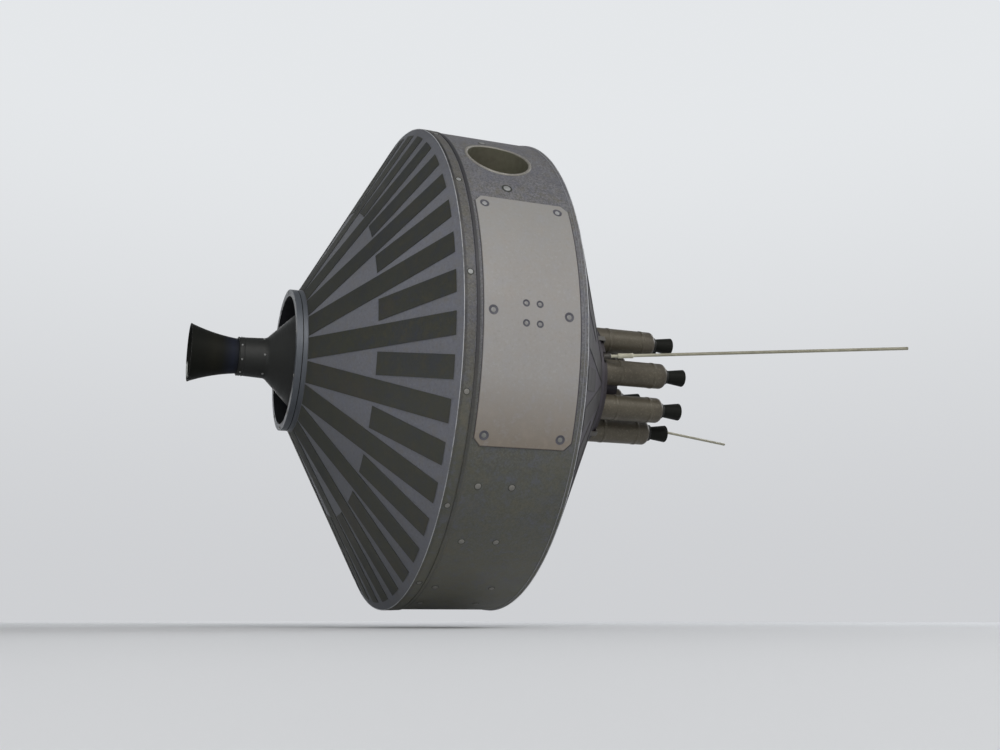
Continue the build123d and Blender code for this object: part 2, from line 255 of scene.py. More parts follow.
def speckled(name, paint, speckle=1.0):
    """Matt paint on laminate: fine light and dark specks, soft clouds, dull brown grime, and painted
    shade on the underside.
    """
    color, light, dark = paint
    f = Finish(name, color, 0.6)
    clouds = f.noise(9.0, 4.0, 0.6)
    f.shade(clouds, 0.40, 0.70, 0.40, dark)
    f.shade(f.noise(17.0, 4.0, 0.6, warp=0.5), 0.48, 0.74, 0.35, (92, 88, 80))
    blots = f.noise(95.0, 4.0, 0.65)
    f.shade(blots, 0.50, 0.66, 0.32 * speckle, light)
    f.shade(blots, 0.48, 0.34, 0.30 * speckle, dark)
    fine = f.noise(360.0, 3.0, 0.75)
    f.shade(fine, 0.51, 0.61, 0.80 * speckle, light)
    f.shade(fine, 0.47, 0.37, 0.85 * speckle, dark)
    f.shade(f.cells(210.0), 0.16, 0.08, 0.55 * speckle, [v * 0.62 for v in dark])
    # painted shade: the underside is darker and more olive, and paler again at the very bottom
    f.shade(f.xyz("Z"), -0.02, -0.20, 0.80, (74, 75, 64))
    f.shade(f.xyz("Z"), -0.27, -0.37, 0.62, (114, 113, 102))
    f.mottle(80.0, 0.45, (88, 90, 103), (95, 90, 76))
    f.mottle(22.0, 0.22, (82, 85, 100), (92, 88, 70))
    f.rough_by(clouds, 0.52, 0.72)
    f.bump(fine, 0.00018)
    f.bump(f.noise(900.0, 2.0), 0.00005)
    return f


def satin(name, paint, rough, metal, lines, deep):
    """Metal or smooth paint with fine turned lines and faint clouds."""
    color, light, dark = paint
    f = Finish(name, color, rough, metal)
    line = f.turned(lines)
    f.shade(f.noise(14.0, 4.0, 0.6), 0.40, 0.70, 0.35, dark)
    f.shade(line, 0.52, 0.75, 0.40, light)
    f.shade(f.noise(420.0, 3.0, 0.7), 0.60, 0.78, 0.35, dark)
    f.rough_by(line, rough - 0.06, rough + 0.10)
    f.bump(line, deep)
    return f


def make_drum_skin():
    """The drum's speckled grey paint."""
    return speckled("drum_skin", SKIN_PAINT).done()


def make_front_band():
    """The front band and the bead, with the dark seam between them, painted as the shade of a groove.
    """
    f = speckled("front_band", BAND_PAINT, 0.8)
    behind = f.ramp(f.xyz("X"), *PAINTED_BEAD)
    specks = f.noise(360.0, 3.0, 0.75)
    f.tint(behind, (87, 87, 87))
    f.tint(f.times(behind, f.ramp(specks, 0.51, 0.61, 0.0, 0.5)), SKIN_PAINT[1])
    f.tint(f.times(behind, f.ramp(specks, 0.47, 0.37, 0.0, 0.8)), SKIN_PAINT[2])
    # painted shade: the bead is darker and more olive on the underside, like the skin
    f.tint(f.times(behind, f.ramp(f.xyz("Z"), -0.02, -0.16, 0.0, 0.85)), (80, 80, 71))
    # the seam is painted as the shade of a groove, and it fades towards the underside
    seam = f.math("MINIMUM", f.times(f.near("X", SEAM_X, 3.5 * MM), 2.1), 0.9)
    f.tint(f.times(seam, f.ramp(f.xyz("Z"), -0.30, 0.02, 0.10, 1.0)), (36, 35, 40))
    # so does the line behind the bright edge, a painted shadow that is strongest on top and broken here
    # and there
    edge = f.math("MINIMUM", f.times(f.near("X", EDGE_LINE_X, 2.2 * MM), 1.8), 0.95)
    breaks = f.ramp(f.noise(24.0, 3.0, 0.7), 0.38, 0.54, 0.6, 1.0)
    top = f.ramp(f.xyz("Z"), 0.10, 0.22, 0.65, 1.0)
    low = f.ramp(f.xyz("Z"), -0.17, -0.02, 0.3, 1.0)
    f.tint(f.times(edge, breaks, top, low), (20, 20, 22))
    return f.done()


def make_aft_band():
    """The aft band, with its step painted paler to hide its shade."""
    f = speckled("aft_band", SKIN_PAINT)
    # painted light: the step is paler so that its shade does not show
    f.shade(f.xyz("X"), 81.35 * MM, 81.25 * MM, 1.0, (136, 136, 140))
    return f.done()


def make_access_panel():
    """Warm white paint, with painted shade: a little darker at the top, darker and browner towards the
    lower end.
    """
    f = Finish("access_panel", (146, 143, 140), 0.65)
    clouds = f.noise(7.0, 4.0, 0.6)
    grain = f.noise(240.0, 4.0, 0.7)
    f.shade(clouds, 0.40, 0.75, 0.40, (141, 136, 131))
    f.shade(f.noise(26.0, 5.0, 0.7, warp=0.7), 0.58, 0.78, 0.30, (136, 129, 120))
    f.shade(grain, 0.54, 0.72, 0.40, (162, 161, 158))
    f.shade(grain, 0.43, 0.30, 0.45, (130, 127, 123))
    # painted shade: darker at the top, darker and browner towards the lower end
    f.shade(f.xyz("Z"), 0.05, 0.16, 0.45, (134, 134, 131))
    f.shade(f.xyz("Z"), -0.08, -0.18, 0.85, (116, 104, 88))
    f.mottle(60.0, 0.22, (142, 143, 150), (150, 140, 130))
    f.rough_by(clouds, 0.58, 0.74)
    f.bump(grain, 0.00008)
    return f.done()


def make_port_inside():
    """The matt olive cup behind the port."""
    f = Finish("port_inside", (102, 100, 84), 0.85)
    rings = f.noise(120.0, 3.0, 0.6)
    f.shade(rings, 0.4, 0.7, 0.5, (88, 87, 73))
    f.shade(f.noise(30.0, 3.0, 0.6), 0.45, 0.7, 0.4, (96, 91, 80))
    f.rough_by(rings, 0.72, 0.88)
    f.bump(rings, 0.0001)
    return f.done()


def make_bright_trim():
    """Rivet heads and clips, with painted shade: darker on the lower half and at the aft end."""
    paint = ((142, 143, 142), (168, 170, 170), (108, 107, 103))
    f = satin("bright_trim", paint, 0.48, 0.2, 1500.0, 0.00003)
    # painted shade: darker on the lower half and at the aft end
    f.shade(f.xyz("Z"), 0.0, -0.10, 0.65, (108, 104, 95))
    f.shade(f.xyz("X"), 0.18, 0.22, 0.80, (86, 83, 78))
    return f.done()


def make_cone_skin():
    """Blue-grey paint, with painted shade towards the top and the bottom and on the aft cone, which is
    darker and browner.
    """
    f = Finish("cone_skin", (117, 118, 124), 0.65).specular(0.2)
    clouds = f.noise(6.0, 4.0, 0.6)
    grain = f.noise(260.0, 4.0, 0.7)
    f.shade(clouds, 0.38, 0.72, 0.45, (106, 107, 112))
    f.shade(grain, 0.53, 0.70, 0.45, (134, 135, 142))
    f.shade(grain, 0.45, 0.32, 0.50, (96, 97, 101))
    f.shade(f.noise(28.0, 5.0, 0.7, warp=0.8), 0.58, 0.78, 0.45, (108, 104, 99))
    f.mottle(90.0, 0.35, (111, 114, 128), (117, 113, 106))
    # painted shade: darker towards the top and the bottom
    steep = f.math("DIVIDE", f.math("ABSOLUTE", f.xyz("Z")), f.radius())
    f.shade(steep, 0.43, 1.0, 0.42, (80, 82, 84))
    f.shade(f.xyz("X"), -0.14, -0.21, 0.20, (88, 90, 92))
    # painted shade: the aft cone is darker and browner
    f.shade(f.xyz("X"), *AFT_CONE, 0.80, (64, 59, 63))
    # the aft cone is rougher too
    matt = f.ramp(f.xyz("X"), *AFT_CONE, 0.0, 0.35)
    f.rough = f.math("ADD", f.ramp(clouds, 0.3, 0.7, 0.54, 0.65), matt)
    f.bump(grain, 0.00009)
    return f.done()


def make_stripe():
    """Dark grey strips, in uneven patches; darkest near the front ring, with painted shade on the upper
    half and on the aft strips.
    """
    f = Finish("stripe", (67, 68, 62), 0.75).specular(0.15)
    clouds = f.noise(9.0, 4.0, 0.65)
    grain = f.noise(300.0, 4.0, 0.7)
    f.shade(clouds, 0.50, 0.66, 0.75, (63, 66, 72))
    f.shade(clouds, 0.46, 0.32, 0.75, (74, 69, 64))
    f.shade(f.noise(13.0, 4.0, 0.65, warp=0.6), 0.52, 0.70, 0.65, (68, 71, 59))
    f.shade(grain, 0.55, 0.72, 0.45, (84, 83, 80))
    f.shade(grain, 0.44, 0.32, 0.45, (53, 53, 50))
    f.mottle(70.0, 0.60, (62, 65, 77), (78, 74, 60))
    # painted shade: darker on the upper half; the underside is paler
    f.shade(f.xyz("Z"), -0.01, 0.06, 0.50, (56, 57, 54))
    f.shade(f.xyz("Z"), 0.00, -0.10, 0.50, (79, 79, 73))
    f.shade(f.xyz("X"), -0.14, -0.20, 0.40, (54, 55, 50))
    # painted shade: the aft strips are darker
    f.shade(f.xyz("X"), *AFT_CONE, 0.80, (43, 39, 42))
    f.rough_by(clouds, 0.62, 0.78)
    f.bump(grain, 0.00008)
    return f.done()


def make_ring_metal():
    """Blue-grey metal of the front ring, with its bore painted black as shade."""
    paint = ((82, 86, 92), (108, 113, 121), (62, 65, 69))
    f = satin("ring_metal", paint, 0.48, 0.3, 1900.0, 0.00005)
    # painted shade: the bore is black
    f.shade(f.radius(), 97.9 * MM, 97.5 * MM, 1.0, (38, 39, 42))
    return f.done()


def make_dark_ring():
    """Dark metal of the aft ring and the aft deck."""
    paint = ((64, 60, 66), (88, 85, 92), (44, 39, 43))
    return satin("dark_ring", paint, 0.45, 0.3, 1900.0, 0.00004).done()


def make_motor_black():
    """Satin black of the big motor's case, dome and neck."""
    paint = ((31, 32, 30), (43, 45, 45), (21, 21, 19))
    return satin("motor_black", paint, 0.55, 0.05, 1100.0, 0.00005).specular(0.35).done()


def make_nozzle_black():
    """Soot black, with a faint blue heat colour beside the throat of the big bell, a faint paler olive
    band further down it as a painted reflection, and a painted highlight on its lip.
    """
    paint = ((19, 20, 16), (29, 30, 26), (12, 12, 10))
    f = satin("nozzle_black", paint, 0.62, 0.0, 1300.0, 0.00005).specular(0.15)
    f.tint(f.times(f.near("X", NECK_START_X - 9.0 * MM, 0.016), 0.60), (30, 35, 52))
    # painted reflection: a faint paler olive band on the bell
    f.tint(f.times(f.near("X", NECK_START_X - 36.0 * MM, 0.016), 0.35), (36, 34, 24))
    # painted highlight: the far lower side of the big bell's lip is bright
    lip = f.ramp(f.xyz("X"), -384.8 * MM, -385.4 * MM)
    far = f.ramp(f.xyz("Y"), -0.002, 0.006)
    low = f.ramp(f.xyz("Z"), -0.004, -0.010)
    end = f.ramp(f.xyz("Z"), -0.034, -0.028)
    f.tint(f.times(lip, far, low, end), (196, 198, 194))
    return f.done()


def make_vernier_plate():
    """Dark plate that carries the small motors."""
    f = Finish("vernier_plate", (46, 41, 45), 0.55, 0.15)
    clouds = f.noise(30.0, 4.0, 0.65)
    f.shade(clouds, 0.42, 0.70, 0.6, (38, 33, 36))
    f.shade(f.noise(380.0, 3.0, 0.7), 0.56, 0.72, 0.45, (72, 65, 70))
    f.rough_by(clouds, 0.42, 0.58)
    f.bump(f.noise(700.0, 2.0), 0.00004)
    return f.done()


def make_vernier_case():
    """Tan metal, browned by heat at the end beside the nozzle."""
    f = Finish("vernier_case", (85, 79, 66), 0.5, 0.2)
    clouds = f.noise(38.0, 4.0, 0.65, stretch=(0.5, 1.0, 1.0))
    f.shade(clouds, 0.42, 0.66, 0.65, (68, 62, 51))
    f.shade(f.noise(300.0, 4.0, 0.7), 0.54, 0.70, 0.50, (120, 114, 98))
    f.shade(f.noise(52.0, 5.0, 0.7, warp=0.7), 0.56, 0.74, 0.55, (64, 56, 47))
    f.shade(f.xyz("X"), CASE_END_X - 22.0 * MM, CASE_END_X, 0.45, (60, 52, 46))
    f.rough_by(clouds, 0.36, 0.58)
    f.bump(f.noise(500.0, 3.0), 0.00008)
    return f.done()


def make_antenna_foot():
    """Dark insulator at the foot of each rod."""
    f = Finish("antenna_foot", (70, 66, 60), 0.5)
    f.shade(f.noise(160.0, 4.0, 0.65), 0.42, 0.70, 0.6, (48, 45, 42))
    f.rough_by(f.noise(90.0, 3.0), 0.42, 0.60)
    f.bump(f.noise(700.0, 2.0), 0.00004)
    return f.done()


def make_antenna_rod():
    """Ivory rods; the sleeve and the start of each rod are polished."""
    f = Finish("antenna_rod", (148, 144, 125), 0.42)
    along = f.noise(90.0, 4.0, 0.7, stretch=(0.35, 1.0, 1.0), warp=0.5)
    f.shade(along, 0.42, 0.66, 0.60, (108, 104, 88))
    f.shade(f.noise(340.0, 4.0, 0.7), 0.58, 0.74, 0.50, (188, 186, 168))
    f.shade(f.xyz("X"), 0.32, 0.28, 0.75, (196, 193, 172))
    f.rough_by(along, 0.34, 0.52)
    f.bump(along, 0.00008)
    return f.done()


def make_edge_finish():
    """Bright metal of the drum's rolled edges: worn metal, brightened further as a painted highlight.
    """
    f = Finish("edge_wear_and_highlight", (172, 173, 176), 0.5, 0.1)
    f.shade(f.noise(34.0, 4.0, 0.7), 0.46, 0.62, 0.75, (106, 106, 108))
    f.shade(f.noise(180.0, 3.0, 0.7), 0.52, 0.68, 0.5, (192, 193, 196))
    f.rough_by(f.noise(60.0, 3.0), 0.42, 0.6)
    return f.done()


def make_head_finish():
    """The panel's screw heads: painted with it, with a painted highlight towards the top and painted
    shade towards the bottom.
    """
    f = Finish("screw_head", (136, 135, 133), 0.5, 0.1)
    f.shade(f.noise(260.0, 3.0, 0.7), 0.45, 0.65, 0.4, (118, 116, 114))
    # painted highlight towards the top, painted shade towards the bottom
    f.shade(f.xyz("Z"), 0.10, 0.15, 0.5, (174, 176, 178))
    f.shade(f.xyz("Z"), -0.10, -0.15, 0.7, (116, 117, 112))
    f.rough_by(f.noise(90.0, 3.0), 0.42, 0.6)
    return f.done()


def make_cup_finish():
    """Dark grey in the dished screw cups, painted as the shade of the recess."""
    f = Finish("cup_painted_shade", (80, 79, 86), 0.6)
    f.shade(f.noise(240.0, 3.0, 0.7), 0.45, 0.65, 0.6, (64, 63, 70))
    f.rough_by(f.noise(90.0, 3.0), 0.52, 0.7)
    return f.done()


def make_rim_finish():
    """Dull pale metal of the port's rolled rim."""
    f = Finish("port_rim_metal", (134, 131, 124), 0.5, 0.15)
    f.shade(f.noise(40.0, 4.0, 0.65), 0.42, 0.66, 0.6, (112, 109, 103))
    f.shade(f.noise(260.0, 3.0, 0.7), 0.52, 0.68, 0.45, (168, 165, 156))
    f.rough_by(f.noise(70.0, 3.0), 0.42, 0.6)
    return f.done()


# One finish for each material slot of the record
looks = {
    "drum_skin": make_drum_skin(),
    "front_band": make_front_band(),
    "aft_band": make_aft_band(),
    "access_panel": make_access_panel(),
    "port_inside": make_port_inside(),
    "bright_trim": make_bright_trim(),
    "cone_skin": make_cone_skin(),
    "stripe": make_stripe(),
    "ring_metal": make_ring_metal(),
    "dark_ring": make_dark_ring(),
    "motor_black": make_motor_black(),
    "nozzle_black": make_nozzle_black(),
    "vernier_plate": make_vernier_plate(),
    "vernier_case": make_vernier_case(),
    "antenna_foot": make_antenna_foot(),
    "antenna_rod": make_antenna_rod(),
}
slot_of = {part["node"]: part["material_slot"] for part in frame["record"]["subparts"]}
for node_name, node in frame["nodes"].items():
    for held in node.material_slots:
        held.material = looks[slot_of[node_name]]


# Mesh tools
def out_at(angle):
    """The direction away from the spin axis at this angle."""
    return Vector((0.0, -cos(radians(angle)), sin(radians(angle))))


def frame_at(origin, up, along=(1.0, 0.0, 0.0)):
    """A matrix whose z is up and whose x lies near along."""
    z = Vector(up).normalized()
    x = Vector(along) - z * Vector(along).dot(z)
    x.normalize()
    matrix = Matrix((x, z.cross(x), z)).transposed().to_4x4()
    matrix.translation = origin
    return matrix


def on_drum(x, angle, radius):
    """A matrix on the drum at this place, z away from the axis and x aft."""
    out = out_at(angle)
    return frame_at(out * radius + Vector((x, 0, 0)), out)


SPIN = frame_at((0, 0, 0), (1, 0, 0), (0, -1, 0))     # z of this frame is the spin axis, aft


def link(name, mesh, material):
    """Make a smooth object of a mesh."""
    mesh.polygons.foreach_set("use_smooth", [True] * len(mesh.polygons))
    mesh.materials.append(material)
    obj = bpy.data.objects.new(name, mesh)
    bpy.context.scene.collection.objects.link(obj)
    return obj


def piece(name, bm, slot, body="probe", sharp=35.0, material=None):
    """Finish a mesh as an object that rides on a body."""
    bmesh.ops.recalc_face_normals(bm, faces=bm.faces[:])
    mesh = bpy.data.meshes.new(name)
    bm.to_mesh(mesh)
    bm.free()
    obj = link(name, mesh, material or looks[slot])
    mesh.set_sharp_from_angle(angle=radians(sharp))
    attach(obj, body)
    return obj


def join_loops(bm, low, high, closed=True):
    """Faces between two loops of as many points."""
    count = len(low)
    for i in range(count if closed else count - 1):
        j = (i + 1) % count
        bm.faces.new((low[i], low[j], high[j], high[i]))


def lathe(bm, profile, matrix, steps=24, closed=False):
    """Turn a profile of (radius, height) round the matrix's z axis."""
    rings = []
    for radius, height in profile:
        if radius < 1e-7:
            rings.append([bm.verts.new(matrix @ Vector((0, 0, height)))])
            continue
        ring = []
        for i in range(steps):
            turn = 2 * pi * i / steps
            ring.append(bm.verts.new(matrix @ Vector((radius * cos(turn), radius * sin(turn), height))))
        rings.append(ring)
    pairs = list(zip(rings, rings[1:]))
    if closed:
        pairs.append((rings[-1], rings[0]))
    for low, high in pairs:
        if len(low) > 1 and len(high) > 1:
            join_loops(bm, low, high)
            continue
        for i in range(steps):
            j = (i + 1) % steps
            tip = (low[0], high[j], high[i]) if len(low) == 1 else (low[i], low[j], high[0])
            bm.faces.new(tip)


def lathe_mm(bm, profile, matrix, steps):
    """Turn a profile that is given in millimetres."""
    lathe(bm, [(radius * MM, height * MM) for radius, height in profile], matrix, steps)


def ring_bead(bm, x, radius, thick, steps, around=10):
    """A round wire bent into a ring about the spin axis."""
    profile = []
    for i in range(around):
        turn = 2 * pi * i / around
        profile.append((radius + thick * cos(turn), x + thick * sin(turn)))
    lathe(bm, profile, SPIN, steps, closed=True)


def dome_head(bm, matrix, radius, height, steps=18):
    """A rivet head."""
    shape = [(1.0, 0.0), (0.99, 0.25), (0.9, 0.55), (0.7, 0.82), (0.4, 0.96), (0.0, 1.0)]
    lathe(bm, [(radius * r, height * h) for r, h in shape], matrix, steps)


def washer(bm, matrix, inner, outer, height):
    """A flat ring with rounded edges."""
    soft = min(height, outer - inner) * 0.35
    profile = [
        (outer, 0.0), (outer, height - soft), (outer - soft, height),
        (inner + soft, height), (inner, height - soft), (inner, 0.0),
    ]
    lathe(bm, profile, matrix)


def slotted_head(bm, matrix, radius, height, turn):
    """A screw head: a disc with two raised halves and a slot between them."""
    floor = height * 0.45
    lathe(bm, [(radius, 0.0), (radius, floor), (0.0, floor)], matrix, 20)
    gap = radius * 0.14
    spread = asin(gap / radius)
    points = 11
    for side in (0, 1):
        spin = radians(turn) + pi * side
        rims = []
        for inset, level in ((0.0, floor), (0.0, height * 0.85), (radius * 0.12, height)):
            ring = []
            for i in range(points):
                angle = spread + (pi - 2 * spread) * i / (points - 1)
                x = (radius - inset) * cos(angle)
                y = max((radius - inset) * sin(angle), gap)
                flat = Vector((x * cos(spin) - y * sin(spin), x * sin(spin) + y * cos(spin), level))
                ring.append(bm.verts.new(matrix @ flat))
            rims.append(ring)
        for low, high in zip(rims, rims[1:]):
            join_loops(bm, low, high)
        bm.faces.new(rims[-1])


# Rivets of the drum: a head has a radius and a height, a seat has a bore, a radius and a height; the
# seats are dark rings of painted shade
BAND_RIVET_X = -77.3 * MM
BAND_RIVET_ANGLES = [7.5 + 24.0 * k for k in range(11)] + [274.0, 295.5, 319.5, 343.5]
BAND_RIVET_HEAD = (3.6 * MM, 0.6 * MM)
BAND_RIVET_SHADE_RING = (3.4 * MM, 4.7 * MM, 0.3 * MM)
SKIN_HEAD_HEIGHT = 1.3 * MM
SKIN_SHADE_RING_HEIGHT = 0.4 * MM
SKIN_HEAD_LAP = 0.3                # a head laps over the bore of its seat, in millimetres
SEAT_SINK = 0.05 * MM              # heads start this far below the face they sit on
# place along x, angle, head radius and seat radius, in millimetres and degrees
SKIN_RIVETS = [
    (-8.0, 31.0, 5.2, 7.6), (-9.6, 53.8, 4.8, 5.6),
    (-42.0, -35.9, 4.3, 5.2), (4.7, -35.9, 4.3, 5.2),
    (-43.0, -50.0, 4.2, 5.0), (5.7, -50.0, 4.2, 5.0),
    (-49.5, -67.0, 4.1, 4.9), (34.5, -67.4, 4.1, 4.9),
    (-52.0, -77.4, 4.1, 4.9), (34.0, -78.0, 4.1, 4.9),
]


def add_rivets():
    """Rivets of the front band and of the drum's skin, each on a dark seat of painted shade round its
    head.
    """
    heads = bmesh.new()
    shade_rings = bmesh.new()
    for angle in BAND_RIVET_ANGLES:
        place = on_drum(BAND_RIVET_X, angle, BAND_R - SEAT_SINK)
        washer(shade_rings, place, *BAND_RIVET_SHADE_RING)
        dome_head(heads, place, *BAND_RIVET_HEAD)
    # the far side repeats the near side, turned half a turn about the spin axis
    for turn in (0.0, 180.0):
        for x, angle, head, seat in SKIN_RIVETS:
            place = on_drum(x * MM, angle + turn, SKIN_R - SEAT_SINK)
            washer(shade_rings, place, (head - SKIN_HEAD_LAP) * MM, seat * MM, SKIN_SHADE_RING_HEIGHT)
            dome_head(heads, place, head * MM, SKIN_HEAD_HEIGHT)
    piece("drum_rivet_heads", heads, "bright_trim")
    # the seats are dark rings of painted shade round the heads
    piece("drum_rivet_shade_rings", shade_rings, "stripe")


# Screws of the panel, in millimetres and degrees: places along x, angles, cup and head radius
PANEL_SCREWS = [
    ((-47.5, 57.5), (24.9, 0.0, -24.9), 6.5, 3.2),
    ((-2.5, 16.5), (2.05, -2.05), 4.9, 2.5),
]
SCREW_HEIGHT = 1.0 * MM
FIRST_SLOT = 25.0                  # angle of the first screw's slot
SLOT_STEP = 67.0                   # each slot is turned on by this from the one before


def add_panel_screws():
    """Slotted screws in dished washers, sunk in the panel's cups."""
    heads = bmesh.new()
    cups = bmesh.new()
    screws = []
    for places, angles, cup, head in PANEL_SCREWS:
        screws += [(x, angle, cup, head) for x in places for angle in angles]
    for i, (x, angle, cup, head) in enumerate(screws):
        place = on_drum(x * MM, angle, CUP_FLOOR_R)
        rim = [(cup, 0.0), (cup, 1.0), (cup - 0.25, 1.1), (cup - 0.6, 0.95)]
        dish = [(head + 0.35, 0.3), (head - 0.2, 0.25)]
        lathe_mm(cups, rim + dish, place, 32)
        slotted_head(heads, place, head * MM, SCREW_HEIGHT, FIRST_SLOT + SLOT_STEP * i)
    piece("panel_screw_heads", heads, "access_panel", material=make_head_finish())
    # the cups are dark grey, painted as the shade of the recess
    piece("panel_screw_cups", cups, "dark_ring", material=make_cup_finish())


# Wires on the drum's edges: radius, how far they stand out of its ends and how deep they sit
WIRE_R = 0.62 * MM
WIRE_OUT = 0.15 * MM
WIRE_SINK = 0.74 * MM


def add_drum_edges():
    """Bright rolled edges of the drum: worn metal and a painted highlight."""
    bright = bmesh.new()
    for side in (-1, 1):
        ring_bead(bright, side * (DRUM_HALF + WIRE_OUT), BAND_R - WIRE_SINK, WIRE_R, 260, 8)
    piece("drum_edge_beads", bright, "bright_trim", sharp=60.0, material=make_edge_finish())


# Section of the painted shadow line round the panel: distance out from the foot, lift off the skin
SHADOW_LINE_SECTION = [(-0.5 * MM, 0.3 * MM), (0.35 * MM, 0.3 * MM), (0.5 * MM, -0.1 * MM)]
SHADOW_LINE_AFT = 4.5                   # it reaches this many times as far on the panel's aft side
CORNER_GROWTH = 0.586              # 2 - sqrt(2): a cut corner moves out as far as the sides


def panel_outline(grow):
    """Points round the panel's foot, moved out by this much: place along x, height on the flat."""
    front = -PANEL_HALF_X - grow
    aft = PANEL_HALF_X + grow * SHADOW_LINE_AFT
    half_v = SKIN_R * sin(radians(PANEL_HALF_ARC)) + grow
    cut = PANEL_CORNER + CORNER_GROWTH * grow
    corners = [
        (aft, cut - half_v), (aft, half_v - cut), (aft - cut, half_v), (front + cut, half_v),
        (front, half_v - cut), (front, cut - half_v), (front + cut, -half_v), (aft - cut, -half_v),
    ]
    points = []
    for side, (a, b) in enumerate(zip(corners, corners[1:] + corners[:1])):
        steps = 40 if side in (0, 4) else 4
        for i in range(steps):
            t = i / steps
            points.append((a[0] + (b[0] - a[0]) * t, a[1] + (b[1] - a[1]) * t))
    return points


def add_panel_shadow_line():
    """A thin dark line round the panel's foot, a painted shadow, reaching further on the panel's aft
    side.
    """
    bm = bmesh.new()
    loops = []
    for grow, lift in SHADOW_LINE_SECTION:
        loop = []
        for x, v in panel_outline(grow):
            out = out_at(degrees(asin(v / SKIN_R)))
            loop.append(bm.verts.new(out * (SKIN_R + lift) + Vector((PANEL_X + x, 0, 0))))
        loops.append(loop)
    for low, high in zip(loops, loops[1:]):
        join_loops(bm, low, high)
    piece("panel_shadow_line", bm, "dark_ring")


# Rim of the port: the middle of its roll, half its width, its height and how far it is sunk
BEZEL_R = 47.0 * MM
BEZEL_HALF = 2.25 * MM
BEZEL_HEIGHT = 1.75 * MM
BEZEL_SINK = 0.1 * MM


def add_port_bezel():
    """The rolled rim of the port, which follows the round drum."""
    bm = bmesh.new()
    out = out_at(PORT_ANGLE)
    side = Vector((1, 0, 0)).cross(out)
    steps = 96
    points = 9
    profile = []
    for i in range(points):
        turn = pi * i / (points - 1)
        profile.append((BEZEL_R + BEZEL_HALF * cos(turn), BEZEL_HEIGHT * sin(turn) - BEZEL_SINK))
    rings = []
    for k in range(steps):
        turn = 2 * pi * k / steps
        ring = []
        for radius, lift in profile:
            v = radius * sin(turn)
            foot = side * v + out * sqrt(SKIN_R ** 2 - v ** 2)
            place = Vector((PORT_X + radius * cos(turn), 0, 0)) + foot
            ring.append(bm.verts.new(place + foot.normalized() * lift))
        rings.append(ring)
    for k in range(steps):
        join_loops(bm, rings[k], rings[(k + 1) % steps], closed=False)
    bezel = piece("port_bezel", bm, "bright_trim", sharp=60.0, material=make_rim_finish())
    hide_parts("port_rim")


# Seam round the front ring: depth of its bottom and of its top, half its width
RING_SEAM_BOTTOM = 1.5 * MM
RING_SEAM_TOP = 0.7 * MM
RING_SEAM_HALF = 0.5 * MM
# Screws on the ring's face: how many, first angle, radius of their circle, head radius and height
RING_SCREWS = 10
RING_SCREW_ANGLE = 11.2
RING_SCREW_R = 102.6 * MM
RING_SCREW_HEAD = (2.4 * MM, 1.1 * MM)


def add_ring_details():
    """The dark seam of the front ring and the screws on its face."""
    dark = bmesh.new()
    inner = RING_R - RING_SEAM_BOTTOM
    outer = RING_R - RING_SEAM_TOP
    front = RING_GROOVE_X - RING_SEAM_HALF
    back = RING_GROOVE_X + RING_SEAM_HALF
    lathe(dark, [(inner, front), (outer, front), (outer, back), (inner, back)], SPIN, 160, closed=True)
    piece("front_ring_seam", dark, "nozzle_black")

    screws = bmesh.new()
    for k in range(RING_SCREWS):
        out = out_at(RING_SCREW_ANGLE + 360.0 / RING_SCREWS * k)
        foot = out * RING_SCREW_R + Vector((RING_FACE_X + SEAT_SINK, 0, 0))
        dome_head(screws, frame_at(foot, (-1, 0, 0), out), *RING_SCREW_HEAD, 16)
    piece("front_ring_screws", screws, "bright_trim")


# Round wires of the motor: place along x, radius of the ring, radius of the wire
BELL_LIP = (BELL_EXIT_X + 0.8 * MM, 42.4 * MM, 0.75 * MM)
NECK_BEADS = [
    (NECK_START_X, 28.4 * MM, 0.9 * MM),
    (NECK_START_X + 7.2 * MM, 28.9 * MM, 0.6 * MM),
]
# Studs of the neck: how many, first angle, place along x, radius they stand on, head radius, height
NECK_STUDS = [
    (8, 23.8, NECK_START_X + 3.6 * MM, 28.5 * MM, 1.5 * MM, 1.2 * MM),
    (6, -2.8, NECK_END_X - 5.0 * MM, 30.15 * MM, 1.7 * MM, 1.3 * MM),
]


def add_motor_details():
    """The bell's lip, the beads where the bell meets the neck, and the neck's studs."""
    lip = bmesh.new()
    ring_bead(lip, *BELL_LIP, 96)
    piece("bell_lip", lip, "nozzle_black", sharp=60.0)

    beads = bmesh.new()
    for bead in NECK_BEADS:
        ring_bead(beads, *bead, 96)
    piece("neck_beads", beads, "motor_black", sharp=60.0)

    studs = bmesh.new()
    for count, first, x, radius, head, height in NECK_STUDS:
        for k in range(count):
            place = on_drum(x, first + 360.0 / count * k, radius)
            dome_head(studs, place, head, height, 12)
    piece("neck_studs", studs, "bright_trim")


# Released ring: places of the straps on each case, sink of the nuts, circle of the plate bolts
STRAP_PLACES = (PLATE_AFT_X + 26.0 * MM, PLATE_AFT_X + 86.0 * MM)
NUT_SINK = 0.6 * MM
PLATE_BOLT_R = 61.0 * MM
# profiles in millimetres: radius, height
STRAP = [(20.4, 0.0), (20.9, 0.0), (21.1, 0.4), (21.1, 4.6), (20.9, 5.0), (20.4, 5.0)]
THROAT_NUT = [(9.4, 0.0), (12.2, 0.0), (12.6, 0.5), (12.6, 3.5), (12.0, 4.2), (9.8, 4.2)]
PLATE_BOLT = [(4.0, 0.0), (4.0, 2.4), (3.4, 3.0), (0.0, 3.0)]


